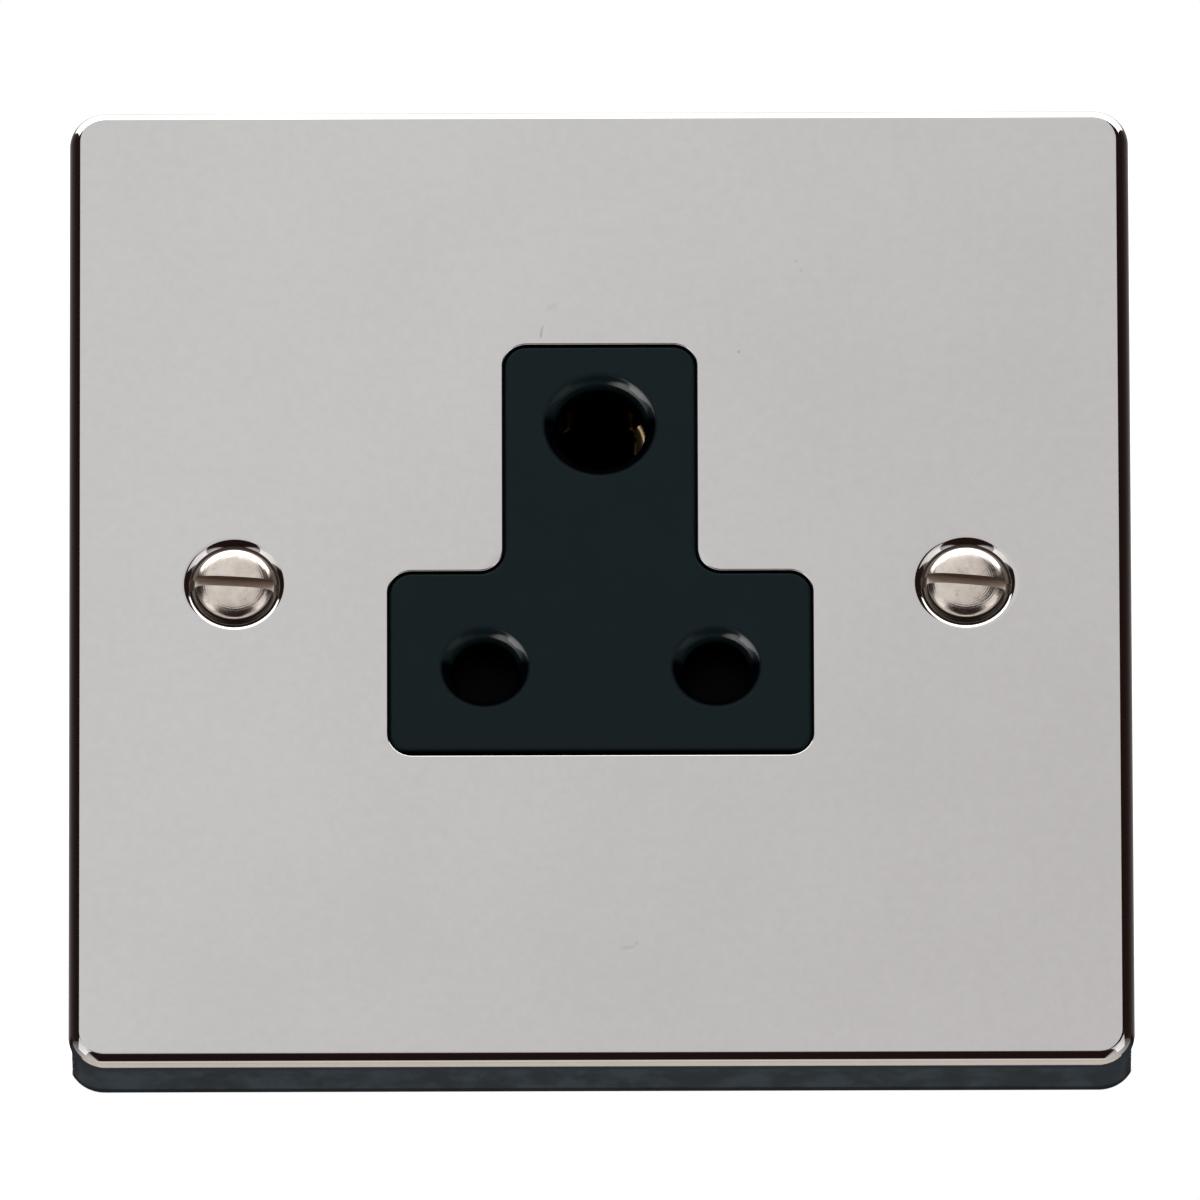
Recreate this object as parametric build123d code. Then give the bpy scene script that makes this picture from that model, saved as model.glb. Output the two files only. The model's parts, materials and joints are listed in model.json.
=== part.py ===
from build123d import *
import os
from math import cos, radians, sin, tan

# A 5 A socket outlet for three round pins, on a square metal plate, for a flush wall box.
# Sizes are in millimetres. Seen from the front X runs to the right and Z runs up.
# The wall is the plane Y = 0: the plate stands out to -Y and the body reaches into the box, to +Y.

# Front plate: one dish drawn from brass sheet, with a T opening and two dimpled screw holes
plate_size = 87.6
plate_depth = 5.5
plate_sheet = 1.2
plate_corner = 3.0
plate_edge = 1.15
plate_inner_edge = 0.4
opening_edge = 0.12

# Dimples for the fixing screws
fixing_centres = 60.3
dimple_width = 8.75
dimple_round = 1.2
dimple_sheet = 1.0
dimple_hole = 4.2
countersink_angle = 90.0

# Fixing screws: raised countersunk heads with a slot
fixing_thread = 3.5
fixing_neck = 3.1
fixing_neck_gap = 0.5
fixing_length = 25.0
fixing_head = 6.5
fixing_head_land = 0.35
fixing_head_rise = 0.85
fixing_slot_width = 0.9
fixing_slot_depth = 1.1
fixing_slot_turn = -4.0
screw_tip = 0.5

# T-shaped face of the insert
insert_bar_width = 16.0
insert_base_width = 35.0
insert_height = 37.7
insert_base_height = 16.9
insert_drop = 15.7
insert_corner = 2.0
insert_gap = 0.15
insert_edge = 0.3
insert_recess = 0.1

# Pins and their holes
pin_spacing = 19.05
earth_offset = 22.22
power_pin = 5.08
power_pin_length = 15.9
earth_pin = 7.06
earth_pin_length = 20.6
power_rise = 8.1
power_hole = 5.6
earth_hole = 7.6
hole_lip = 1.05

# Moulded front and rear base
flange_lip = 1.6
flange_thickness = 2.3
flange_corner = 4.0
flange_margin = 4.0
body_wall = 2.2
body_corner = 3.0
base_floor = 2.6
base_edge = 1.2
rib_width = 1.4
post_wall = 1.0
core_rib = 1.4
core_floor = 2.4
core_corner = 0.8
core_draft = 1.0
side_core_columns = 2
side_core_rows = 3
middle_core_rows = 3

# Running and fitting clearances
run_gap = 0.2
side_gap = 0.25
fit_gap = 0.2
seat_gap = 0.02

# Shutter and its spring
shutter_thickness = 2.2
shutter_overlap = 0.45
shutter_open_margin = 0.25
shutter_bar = 1.9
shutter_corner = 0.6
stem_width = 7.6
window_sill = 0.9
window_head = 2.9
ramp_width = 3.6
ramp_top = 0.8
ramp_web = 2.4
ramp_lead = 0.2
ramp_clearance = 0.1
ramp_angle = 45.0
peg_width = 2.8
peg_height = 1.6
spring_outer = 3.0
spring_wire = 0.4
spring_turns = 5.5

# Contacts: split sleeves rolled from brass strip, each with a flat tail
contact_sheet = 0.8
contact_grip = 0.12
contact_lead_in = 0.3
contact_split_angle = 90.0
contact_room = 0.3
tail_width = 6.0
power_sleeve_length = 8.5
earth_sleeve_length = 10.7
earth_jaw_length = 5.6
earth_jaw_angle = 56.0
tail_set_back = 2.6

# Terminal blocks and their screws
block_width = 7.2
block_height = 8.4
block_depth = 8.0
block_set_back = 8.4
block_edge = 0.4
wire_hole = 4.0
wire_hole_set_back = 3.4
wire_entry = 5.0
wire_entry_edge = 0.8
spigot = 1.8
spigot_set_back = 1.3
terminal_thread = 3.5
terminal_screw_head = 5.4
terminal_screw_head_height = 1.6
terminal_screw_stand = 0.4
terminal_slot_width = 0.8
terminal_slot_depth = 0.8
screw_access_gap = 0.4

# Screws that hold the base to the front
base_screw_thread = 2.9
base_screw_core = 2.4
base_screw_head = 4.8
base_screw_head_height = 1.9
base_screw_seat = 7.5
base_screw_bite = 1.6
base_screw_head_edge = 0.7
base_screw_cross = 2.9
base_screw_cross_width = 0.7
base_screw_cross_depth = 0.9
boss_width = 4.8
boss_sink = 1.0
pilot_floor = 0.9

# Studs welded to the plate, their nuts, and the earth strap
stud_thread = 3.0
stud_hole = 3.4
stud_offset = 4.6
stud_end = 1.0
nut_width = 5.5
nut_height = 2.4
strap_width = 5.4
strap_sheet = 0.6
strap_bend = 0.5
strap_foot_length = 10.6
strap_end_margin = 3.0
rivet_shank = 2.2
rivet_head = 3.8
rivet_head_height = 0.8
rivet_set_back = 5.6

# Levels from front to back
wall_y = 0.0
face_y = wall_y - plate_depth
seat_y = face_y + plate_sheet
insert_y = face_y + insert_recess
track_y = seat_y + flange_thickness
shutter_front_y = track_y + run_gap
shutter_back_y = shutter_front_y + shutter_thickness
parting_y = shutter_back_y + run_gap
block_front_y = parting_y + block_set_back
block_back_y = block_front_y + block_depth
base_back_y = block_back_y + base_floor
wire_y = block_front_y + wire_hole_set_back
rivet_y = parting_y + rivet_set_back

# Heights of the insert and the pins
insert_bottom_z = -insert_drop
insert_top_z = insert_bottom_z + insert_height
shoulder_z = insert_bottom_z + insert_base_height
power_x = pin_spacing / 2
power_z = insert_bottom_z + power_rise
earth_z = power_z + earth_offset

# Sleeve radii, inside and outside
power_bore = power_pin / 2 - contact_grip
power_sleeve = power_bore + contact_sheet
earth_bore = earth_pin / 2 - contact_grip
earth_sleeve = earth_bore + contact_sheet

# Terminal blocks stand on the tails of their contacts
power_block_x = power_x + power_sleeve + block_width / 2
earth_block_z = earth_z + earth_sleeve + block_height / 2

# Shutter: its blades cover the two power holes, and its ramp stands in the earth hole
blade_half = power_hole / 2 + shutter_overlap
blade_inner_x = power_x - blade_half
blade_outer_x = power_x + blade_half
blade_top_z = power_z + blade_half
blade_bottom_z = power_z - blade_half
shutter_travel = power_hole + shutter_overlap + shutter_open_margin
shutter_mid_y = (shutter_front_y + shutter_back_y) / 2
ramp_foot_z = earth_z - earth_pin / 2 - ramp_lead
ramp_top_z = earth_z - earth_pin / 2 - ramp_clearance + shutter_travel
ramp_back_y = shutter_front_y + (ramp_top_z - ramp_foot_z) / tan(radians(ramp_angle)) + ramp_top
window_sill_z = blade_top_z + window_sill
window_top_z = ramp_foot_z - window_head
peg_bottom_z = window_sill_z + side_gap
peg_top_z = peg_bottom_z + peg_height
window_width = spring_outer + 2 * side_gap

# Body outline, round the terminals at the sides and top and the open shutter below
body_half = power_block_x + block_width / 2 + fit_gap + body_wall
body_top_z = earth_block_z + block_height / 2 + fit_gap + body_wall
body_bottom_z = blade_bottom_z - shutter_travel - side_gap - body_wall
flange_half = body_half + flange_lip
stud_heights = (body_top_z + stud_offset, body_bottom_z - stud_offset)
boss_inset = body_wall + boss_width / 2 - boss_sink
base_screw_recess = base_screw_head + 2 * fit_gap
base_screw_places = (
    (body_half - boss_inset, body_top_z - boss_inset),
    (boss_inset - body_half, body_top_z - boss_inset),
    (0, body_bottom_z + boss_inset),
)
terminal_places = (
    (power_block_x, power_z),
    (-power_block_x, power_z),
    (0, earth_block_z),
)
pin_holes = (
    (power_x, power_z, power_hole / 2),
    (-power_x, power_z, power_hole / 2),
    (0, earth_z, earth_hole / 2),
)


def front_plane(y):
    return Plane(origin=(0, y, 0), x_dir=(1, 0, 0), z_dir=(0, -1, 0))


def slab(outline, front_y, back_y):
    return extrude(front_plane(back_y) * outline, back_y - front_y)


def rod(diameter, x, z, front_y, back_y):
    return slab(Pos(x, z) * Circle(diameter / 2), front_y, back_y)


def upright_rod(diameter, x, y, low_z, high_z):
    return Pos(x, y, (low_z + high_z) / 2) * Cylinder(diameter / 2, high_z - low_z)


def rectangle(low_x, high_x, low_z, high_z, corner=0.0):
    width = high_x - low_x
    height = high_z - low_z
    shape = RectangleRounded(width, height, corner) if corner else Rectangle(width, height)
    return Pos((low_x + high_x) / 2, (low_z + high_z) / 2) * shape


def turned(section, x, y, z):
    # a half section drawn as radius and depth behind y, turned about a line along Y
    plane = Plane(origin=(x, y, z), x_dir=(1, 0, 0), z_dir=(0, 0, 1))
    return revolve(plane * section, Axis((x, y, z), (0, 1, 0)))


def front_face(part):
    return part.faces().sort_by(Axis.Y)[0]


def slot(width, depth, length, x, y, z, turn=0.0):
    # a straight screwdriver slot, cut from y towards the back
    outline = Pos(x, z) * Rot(0, 0, turn) * Rectangle(length, width)
    return slab(outline, y, y + depth)


def tee_outline():
    bar = insert_bar_width / 2
    base = insert_base_width / 2
    corners = Polyline(
        (-base, insert_bottom_z),
        (base, insert_bottom_z),
        (base, shoulder_z),
        (bar, shoulder_z),
        (bar, insert_top_z),
        (-bar, insert_top_z),
        (-bar, shoulder_z),
        (-base, shoulder_z),
        close=True,
    )
    return fillet(make_face(corners).vertices(), insert_corner)


def body_outline(inset=0.0):
    return rectangle(
        inset - body_half,
        body_half - inset,
        body_bottom_z + inset,
        body_top_z - inset,
        body_corner - inset,
    )


# Half the countersink's angle gives the slope of the dimple's cone and of the screw head under it
cone_half = radians(countersink_angle / 2)
lip_end_radius = dimple_width / 2 - dimple_round * cos(cone_half)
lip_end_depth = dimple_round * (1 - sin(cone_half))


def cone_depth(radius):
    return lip_end_depth + (lip_end_radius - radius) / tan(cone_half)


# Thickness of the pressed cone along the screw, and how far its end stands behind the face
dimple_shift = dimple_sheet / sin(cone_half)
dimple_depth = cone_depth(dimple_hole / 2) + dimple_shift


def make_dimple(x):
    # a rounded lip rolls into a cone, pressed out at the back of the sheet
    rim = dimple_width / 2
    hole = dimple_hole / 2
    back_radius = lip_end_radius + (lip_end_depth + dimple_shift - plate_sheet) * tan(cone_half)
    lip = RadiusArc((rim, 0), (lip_end_radius, lip_end_depth), dimple_round)
    rest = Polyline(
        (lip_end_radius, lip_end_depth),
        (hole, cone_depth(hole)),
        (hole, dimple_depth),
        (back_radius, plate_sheet),
        (rim, plate_sheet),
        (rim, 0),
    )
    return turned(make_face(Curve() + [lip, rest]), x, face_y, 0)


def make_front_plate():
    plate = slab(RectangleRounded(plate_size, plate_size, plate_corner), face_y, wall_y)
    plate = fillet(front_face(plate).edges(), plate_edge)
    inner_size = plate_size - 2 * plate_sheet
    inner_corner = plate_corner - plate_sheet
    hollow = slab(RectangleRounded(inner_size, inner_size, inner_corner), seat_y, wall_y)
    plate -= fillet(front_face(hollow).edges(), plate_inner_edge)
    plate -= slab(tee_outline(), face_y, seat_y)
    plate = fillet(front_face(plate).inner_wires()[0].edges(), opening_edge)
    for x in (-fixing_centres / 2, fixing_centres / 2):
        plate -= rod(dimple_width, x, 0, face_y, seat_y)
        plate += make_dimple(x)
    return plate


def make_fixing_screw(x):
    # the thread starts behind the dimple, below a plain neck
    head = fixing_head / 2
    neck = fixing_neck / 2
    shank = fixing_thread / 2
    neck_end = dimple_depth + fixing_neck_gap
    rim = cone_depth(head) - seat_gap
    crown = rim - fixing_head_land
    tip = crown + fixing_length
    dome = EllipticalCenterArc((0, crown), head, fixing_head_rise, 270, arc_size=90)
    rest = Polyline(
        (head, crown),
        (head, rim),
        (neck, cone_depth(neck) - seat_gap),
        (neck, neck_end),
        (shank, neck_end + shank - neck),
        (shank, tip - screw_tip),
        (shank - screw_tip, tip),
        (0, tip),
        (0, crown - fixing_head_rise),
    )
    screw = turned(make_face(Curve() + [dome, rest]), x, face_y, 0)
    top_y = face_y + crown - fixing_head_rise
    return screw - slot(fixing_slot_width, fixing_slot_depth, fixing_head, x, top_y, 0, fixing_slot_turn)


def make_fixing_screws():
    return [make_fixing_screw(-fixing_centres / 2), make_fixing_screw(fixing_centres / 2)]


def make_socket_front():
    # the T face stands in the plate's opening, and the flange lies behind the plate
    face = slab(offset(tee_outline(), -insert_gap), insert_y, seat_y)
    front = fillet(front_face(face).edges(), insert_edge)
    low_z = stud_heights[1] - flange_margin
    high_z = stud_heights[0] + flange_margin
    front += slab(rectangle(-flange_half, flange_half, low_z, high_z, flange_corner), seat_y, track_y)
    front += slab(body_outline() - body_outline(body_wall), track_y, parting_y)
    # ribs guide the shutter's blades, and posts keep the two power terminals on their seats
    floor_z = body_bottom_z + body_wall
    rib_x = blade_outer_x + side_gap
    post_low_x = max(rib_x, power_block_x - block_width / 2 + post_wall)
    post_high_x = power_block_x + block_width / 2 - post_wall
    post_half = block_height / 2 - post_wall
    for side in (-1, 1):
        rib = rectangle(*sorted((side * rib_x, side * (rib_x + rib_width))), floor_z, blade_top_z)
        front += slab(rib, track_y, parting_y)
        post_x = sorted((side * post_low_x, side * post_high_x))
        post = rectangle(*post_x, power_z - post_half, power_z + post_half)
        front += slab(post, track_y, block_front_y - fit_gap)
    # a peg carries the spring's lower end
    peg = rectangle(-peg_width / 2, peg_width / 2, peg_bottom_z, peg_top_z)
    spring_room = upright_rod(window_width, 0, shutter_mid_y, peg_bottom_z, window_top_z)
    front = front - spring_room + slab(peg, insert_y + flange_thickness, shutter_back_y - run_gap)
    for x, z in base_screw_places:
        front += rod(boss_width, x, z, track_y, parting_y)
        front -= rod(base_screw_core + 2 * seat_gap, x, z, seat_y + pilot_floor, parting_y)
    for z in stud_heights:
        front -= rod(stud_hole, 0, z, seat_y, track_y)
    # the earth strap passes through a notch in the top wall
    notch_half = strap_width / 2 + fit_gap
    notch = rectangle(-notch_half, notch_half, body_top_z - body_wall, body_top_z)
    front -= slab(notch, track_y, track_y + strap_sheet + fit_gap)
    for x, z, radius in pin_holes:
        front -= rod(2 * radius, x, z, insert_y, track_y)
    lips = [edge for wire in front_face(front).inner_wires() for edge in wire.edges()]
    return fillet(lips, hole_lip)


def make_shutter():
    # two blades on a bar, a stem with a window for the spring, and a ramp in the earth hole
    plan = rectangle(-blade_outer_x, blade_outer_x, blade_top_z - shutter_bar, blade_top_z)
    for side in (-1, 1):
        blade_x = sorted((side * blade_inner_x, side * blade_outer_x))
        plan += rectangle(*blade_x, blade_bottom_z, blade_top_z)
    plan += rectangle(-stem_width / 2, stem_width / 2, blade_top_z - shutter_bar, ramp_foot_z - side_gap)
    plan = fillet(plan.vertices(), shutter_corner)
    plan -= rectangle(-window_width / 2, window_width / 2, window_sill_z, window_top_z)
    shutter = slab(plan, shutter_front_y, shutter_back_y)
    slope = tan(radians(ramp_angle))
    ramp = make_face(
        Polyline(
            (shutter_front_y, window_top_z),
            (shutter_front_y, ramp_foot_z),
            (ramp_back_y - ramp_top, ramp_top_z),
            (ramp_back_y, ramp_top_z),
            (ramp_back_y, ramp_top_z - ramp_web),
            (shutter_back_y, ramp_top_z - ramp_web - (ramp_back_y - shutter_back_y) * slope),
            (shutter_back_y, window_top_z),
            close=True,
        )
    )
    return shutter + extrude(Plane.YZ * ramp, ramp_width / 2, both=True)


def make_shutter_spring():
    coil = (spring_outer - spring_wire) / 2
    start_z = peg_top_z + spring_wire / 2 + seat_gap
    height = window_top_z - spring_wire / 2 - seat_gap - start_z
    path = Helix(height / spring_turns, height, coil, (0, shutter_mid_y, start_z))
    section = Plane(path @ 0, z_dir=path % 0) * Circle(spring_wire / 2)
    return sweep(section, path, is_frenet=True)


def wedge(half_angle, reach):
    # a triangle that opens from the centre, upward where reach is positive
    half = reach * tan(half_angle)
    return make_face(Polyline((0, 0), (half, reach), (-half, reach), close=True))


def make_sleeve(bore, front_y, length, back_y):
    # a rolled sleeve about the Y axis, split at the bottom, with its tail along the top
    outer = bore + contact_sheet
    section = Polyline(
        (bore, contact_lead_in),
        (bore, length),
        (outer, length),
        (outer, 0),
        (bore + contact_lead_in, 0),
    )
    lip = RadiusArc((bore + contact_lead_in, 0), (bore, contact_lead_in), contact_lead_in)
    sleeve = turned(make_face(Curve() + [section, lip]), 0, front_y, 0)
    sleeve -= slab(wedge(radians(contact_split_angle / 2), -2 * outer), front_y, front_y + length)
    tail = rectangle(-tail_width / 2, tail_width / 2, bore, outer)
    sleeve += slab(tail, front_y + tail_set_back, back_y)
    spigot_y = back_y - spigot_set_back
    return sleeve - upright_rod(spigot + 2 * seat_gap, 0, spigot_y, bore, outer)


def make_earth_contact():
    # the front of the sleeve is two jaws, one at each side of the pin
    front_y = track_y + contact_room
    sleeve = make_sleeve(earth_bore, front_y, earth_sleeve_length, block_back_y)
    for reach in (2 * earth_sleeve, -2 * earth_sleeve):
        sleeve -= slab(wedge(radians(90 - earth_jaw_angle / 2), reach), front_y, front_y + earth_jaw_length)
    contact = Pos(0, 0, earth_z) * sleeve
    low_z = earth_z + earth_bore - seat_gap
    return contact - upright_rod(rivet_shank + 2 * seat_gap, 0, rivet_y, low_z, earth_z + earth_sleeve)


def make_power_contact(side):
    # the tail stands on the outer side, against its terminal
    sleeve = make_sleeve(power_bore, parting_y + run_gap, power_sleeve_length, block_back_y)
    return Pos(side * power_x, 0, power_z) * Rot(0, side * 90, 0) * sleeve


def make_block():
    # a brass block with an upright conductor hole, crossed by a tapped hole from the back
    block = Pos(0, (block_front_y + block_back_y) / 2, 0) * Box(block_width, block_depth, block_height)
    block = chamfer(block.edges(), block_edge)
    block -= upright_rod(wire_hole, 0, wire_y, -block_height / 2, block_height / 2)
    return block - rod(terminal_thread + 2 * seat_gap, 0, 0, wire_y, block_back_y)


def make_spigot():
    # the block's rivet, closed flush in the contact's tail below it
    return upright_rod(spigot, 0, block_back_y - spigot_set_back, -contact_sheet, block_edge)


def make_earth_terminal():
    return Pos(0, 0, earth_block_z) * (make_block() + Pos(0, 0, -block_height / 2) * make_spigot())


def make_power_terminal(side):
    spigot_part = Pos(-side * block_width / 2, 0, 0) * Rot(0, side * 90, 0) * make_spigot()
    return Pos(side * power_block_x, 0, power_z) * (make_block() + spigot_part)


def make_terminal_screw(x, z):
    # drawn back, so that the conductor hole is clear
    head_y = block_back_y + terminal_screw_stand
    top_y = head_y + terminal_screw_head_height
    tip_y = wire_y + wire_hole / 2 + fit_gap
    screw = rod(terminal_screw_head, x, z, head_y, top_y)
    screw += rod(terminal_thread, x, z, tip_y, head_y)
    cut_y = top_y - terminal_slot_depth
    return screw - slot(terminal_slot_width, terminal_slot_depth, terminal_screw_head, x, cut_y, z)


def make_terminal_screws():
    return [make_terminal_screw(x, z) for x, z in terminal_places]


def core_out(low_x, high_x, low_z, high_z, columns, rows, floor_y):
    # drafted cells that lighten the moulding from the back, with ribs left between them
    width = (high_x - low_x - (columns - 1) * core_rib) / columns
    height = (high_z - low_z - (rows - 1) * core_rib) / rows
    cell = RectangleRounded(width, height, core_corner)
    plane = front_plane(base_back_y)
    cells = []
    for column in range(columns):
        for row in range(rows):
            x = low_x + width / 2 + column * (width + core_rib)
            z = low_z + height / 2 + row * (height + core_rib)
            cells.append(extrude(plane * Pos(x, z) * cell, base_back_y - floor_y, taper=core_draft))
    return cells


def make_rear_base():
    base = slab(body_outline(), parting_y, base_back_y)
    base = fillet(base.faces().sort_by(Axis.Y)[-1].edges(), base_edge)
    # pockets for the sleeves, deep enough for the tips of the pins
    power_end_y = face_y + power_pin_length + contact_room
    earth_end_y = face_y + earth_pin_length + contact_room
    sleeve_room = 2 * (contact_room + power_sleeve)
    for side in (-1, 1):
        base -= rod(sleeve_room, side * power_x, power_z, parting_y, power_end_y)
        pocket_x = sorted((
            side * (power_x + power_bore - fit_gap),
            side * (power_block_x + block_width / 2 + fit_gap),
        ))
        pocket_half = block_height / 2 + fit_gap
        pocket = rectangle(*pocket_x, power_z - pocket_half, power_z + pocket_half)
        base -= slab(pocket, parting_y, block_back_y)
        entry = upright_rod(wire_entry, side * power_block_x, wire_y, body_bottom_z, power_z)
        base -= entry
    base -= rod(2 * (contact_room + earth_sleeve), 0, earth_z, parting_y, earth_end_y)
    pocket_half = block_width / 2 + fit_gap
    pocket_top_z = earth_block_z + block_height / 2 + fit_gap
    pocket = rectangle(-pocket_half, pocket_half, earth_z + earth_bore - fit_gap, pocket_top_z)
    base -= slab(pocket, parting_y, block_back_y)
    base -= upright_rod(wire_entry, 0, wire_y, earth_block_z, body_top_z)
    # conductor entries open with a bevel
    rings = base.edges().filter_by(GeomType.CIRCLE)
    mouths = rings.filter_by_position(Axis.Z, body_top_z - seat_gap, body_top_z + seat_gap)
    mouths += rings.filter_by_position(Axis.Z, body_bottom_z - seat_gap, body_bottom_z + seat_gap)
    base = chamfer(mouths, wire_entry_edge)
    # room for the ramp and the spring behind the shutter
    ramp_half = ramp_width / 2 + 2 * side_gap
    ramp_low_z = window_top_z - shutter_travel - side_gap
    ramp_room = rectangle(-ramp_half, ramp_half, ramp_low_z, earth_z)
    base -= slab(ramp_room, parting_y, ramp_back_y + side_gap)
    base -= upright_rod(window_width, 0, shutter_mid_y, peg_bottom_z, window_top_z)
    # cores beside the earth contact and between the power contacts
    core_low_x = earth_sleeve + contact_room + body_wall
    core_high_x = body_half - body_wall
    core_low_z = power_z + block_height / 2 + fit_gap + body_wall
    core_high_z = base_screw_places[0][1] - base_screw_recess / 2 - body_wall
    for low_x, high_x in ((core_low_x, core_high_x), (-core_high_x, -core_low_x)):
        base -= core_out(low_x, high_x, core_low_z, core_high_z, side_core_columns, side_core_rows,
                         parting_y + core_floor)
    middle_half = power_x - power_sleeve - contact_room - body_wall
    middle_low_z = base_screw_places[2][1] + base_screw_recess / 2 + body_wall
    middle_high_z = earth_z - earth_sleeve - contact_room - body_wall
    base -= core_out(-middle_half, middle_half, middle_low_z, middle_high_z, 1, middle_core_rows,
                     ramp_back_y + side_gap + core_floor)
    for x, z in terminal_places:
        base -= rod(terminal_screw_head + 2 * screw_access_gap, x, z, block_back_y, base_back_y)
    for x, z in base_screw_places:
        base -= rod(base_screw_thread + 2 * fit_gap, x, z, parting_y, base_back_y)
        base -= rod(base_screw_recess, x, z, parting_y + base_screw_seat, base_back_y)
    return base


def make_base_screw(x, z):
    head_y = parting_y + base_screw_seat
    top_y = head_y + base_screw_head_height
    screw = rod(base_screw_head, x, z, head_y, top_y)
    screw = fillet(screw.faces().sort_by(Axis.Y)[-1].edges(), base_screw_head_edge)
    screw += rod(base_screw_core, x, z, seat_y + base_screw_bite, head_y)
    cut_y = top_y - base_screw_cross_depth
    for turn in (0, 90):
        screw -= slot(base_screw_cross_width, base_screw_cross_depth, base_screw_cross, x, cut_y, z, turn)
    return screw


def make_base_screws():
    return [make_base_screw(x, z) for x, z in base_screw_places]


# The strap lies under the upper nut
nut_seats = (track_y + strap_sheet, track_y)


def make_plate_studs():
    return [
        rod(stud_thread, 0, z, seat_y, seat + nut_height + stud_end)
        for z, seat in zip(stud_heights, nut_seats)
    ]


def make_stud_nuts():
    nuts = []
    for z, seat in zip(stud_heights, nut_seats):
        outline = Pos(0, z) * RegularPolygon(nut_width / 2, 6, major_radius=False)
        outline -= Pos(0, z) * Circle(stud_thread / 2 + seat_gap)
        nuts.append(slab(outline, seat, seat + nut_height))
    return nuts


def make_earth_strap():
    # a bent strip: a leg down the flange from the upper stud, and a foot on the earth contact's tail
    foot_z = earth_z + earth_sleeve
    top_z = stud_heights[0] + strap_end_margin
    end_y = track_y + strap_foot_length
    side = Polyline(
        (track_y, top_z),
        (track_y, foot_z),
        (end_y, foot_z),
        (end_y, foot_z + strap_sheet),
        (track_y + strap_sheet, foot_z + strap_sheet),
        (track_y + strap_sheet, top_z),
        close=True,
    )
    strap = extrude(Plane.YZ * make_face(side), strap_width / 2, both=True)
    bends = strap.edges().filter_by(Axis.X).sort_by(Axis.Z)
    outer = [e for e in bends if abs(e.center().Y - track_y) < seat_gap and e.center().Z < top_z - seat_gap]
    strap = fillet(outer, strap_bend + strap_sheet)
    inner_y = track_y + strap_sheet
    inner = [
        e for e in strap.edges().filter_by(Axis.X)
        if abs(e.center().Y - inner_y) < seat_gap and e.center().Z < top_z - seat_gap
    ]
    strap = fillet(inner, strap_bend)
    ends = strap.edges().filter_by(Axis.Y).sort_by(Axis.Z)[-2:]
    strap = fillet(ends, strap_width / 2 - seat_gap)
    strap -= rod(stud_hole, 0, stud_heights[0], track_y, inner_y)
    return strap - upright_rod(rivet_shank + 2 * seat_gap, 0, rivet_y, foot_z, foot_z + strap_sheet)


def make_strap_rivet():
    top_z = earth_z + earth_sleeve + strap_sheet
    head = upright_rod(rivet_head, 0, rivet_y, top_z, top_z + rivet_head_height)
    head = fillet(head.faces().sort_by(Axis.Z)[-1].edges(), rivet_head_height - seat_gap)
    return head + upright_rod(rivet_shank, 0, rivet_y, earth_z + earth_bore, top_z)


nodes = {
    "front_plate": make_front_plate(),
    "fixing_screws": make_fixing_screws(),
    "plate_studs": make_plate_studs(),
    "stud_nuts": make_stud_nuts(),
    "socket_front": make_socket_front(),
    "shutter": make_shutter(),
    "shutter_spring": make_shutter_spring(),
    "live_contact": make_power_contact(1),
    "neutral_contact": make_power_contact(-1),
    "earth_contact": make_earth_contact(),
    "live_terminal": make_power_terminal(1),
    "neutral_terminal": make_power_terminal(-1),
    "earth_terminal": make_earth_terminal(),
    "terminal_screws": make_terminal_screws(),
    "rear_base": make_rear_base(),
    "base_screws": make_base_screws(),
    "earth_strap": make_earth_strap(),
    "strap_rivet": make_strap_rivet(),
}

os.makedirs("parts", exist_ok=True)
for name, shape in nodes.items():
    export_step(Compound(children=shape) if isinstance(shape, list) else shape, f"parts/{name}.step")
    print(name)
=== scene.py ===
import json
from math import atan2, ceil, cos, pi, radians, sin, tan

import bmesh
import bpy
from mathutils import Matrix, Quaternion, Vector


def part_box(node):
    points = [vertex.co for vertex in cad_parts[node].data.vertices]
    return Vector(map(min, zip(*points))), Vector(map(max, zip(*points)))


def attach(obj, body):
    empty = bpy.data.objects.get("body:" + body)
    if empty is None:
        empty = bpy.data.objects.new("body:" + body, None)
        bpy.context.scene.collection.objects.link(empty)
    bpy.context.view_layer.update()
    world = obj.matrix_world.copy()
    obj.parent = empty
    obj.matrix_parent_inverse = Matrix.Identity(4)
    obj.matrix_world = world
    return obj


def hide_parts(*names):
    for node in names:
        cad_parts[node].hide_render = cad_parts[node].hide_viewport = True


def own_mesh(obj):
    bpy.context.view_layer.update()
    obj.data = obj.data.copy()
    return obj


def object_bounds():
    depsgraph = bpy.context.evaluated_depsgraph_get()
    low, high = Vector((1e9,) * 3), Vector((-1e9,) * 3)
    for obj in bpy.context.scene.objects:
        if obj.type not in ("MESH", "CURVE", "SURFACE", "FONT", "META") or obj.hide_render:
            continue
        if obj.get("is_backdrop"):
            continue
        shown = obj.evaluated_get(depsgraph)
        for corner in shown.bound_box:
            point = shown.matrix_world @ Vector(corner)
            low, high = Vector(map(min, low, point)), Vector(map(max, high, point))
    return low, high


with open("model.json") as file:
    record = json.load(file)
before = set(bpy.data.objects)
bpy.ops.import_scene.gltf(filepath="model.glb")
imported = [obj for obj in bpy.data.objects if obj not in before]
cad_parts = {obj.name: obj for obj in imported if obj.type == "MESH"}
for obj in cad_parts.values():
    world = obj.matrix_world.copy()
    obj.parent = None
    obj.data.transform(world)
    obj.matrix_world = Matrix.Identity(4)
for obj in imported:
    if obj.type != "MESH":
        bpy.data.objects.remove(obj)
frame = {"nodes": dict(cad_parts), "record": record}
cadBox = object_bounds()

# A round pin socket on a chromed wall plate. The face looks along -Y, the wall is the plane Y = 0.
# Forms are drawn in millimetres and scaled to metres when they become meshes.
mm = 0.001
nodes = frame["nodes"]
scene = bpy.context.scene
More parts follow.
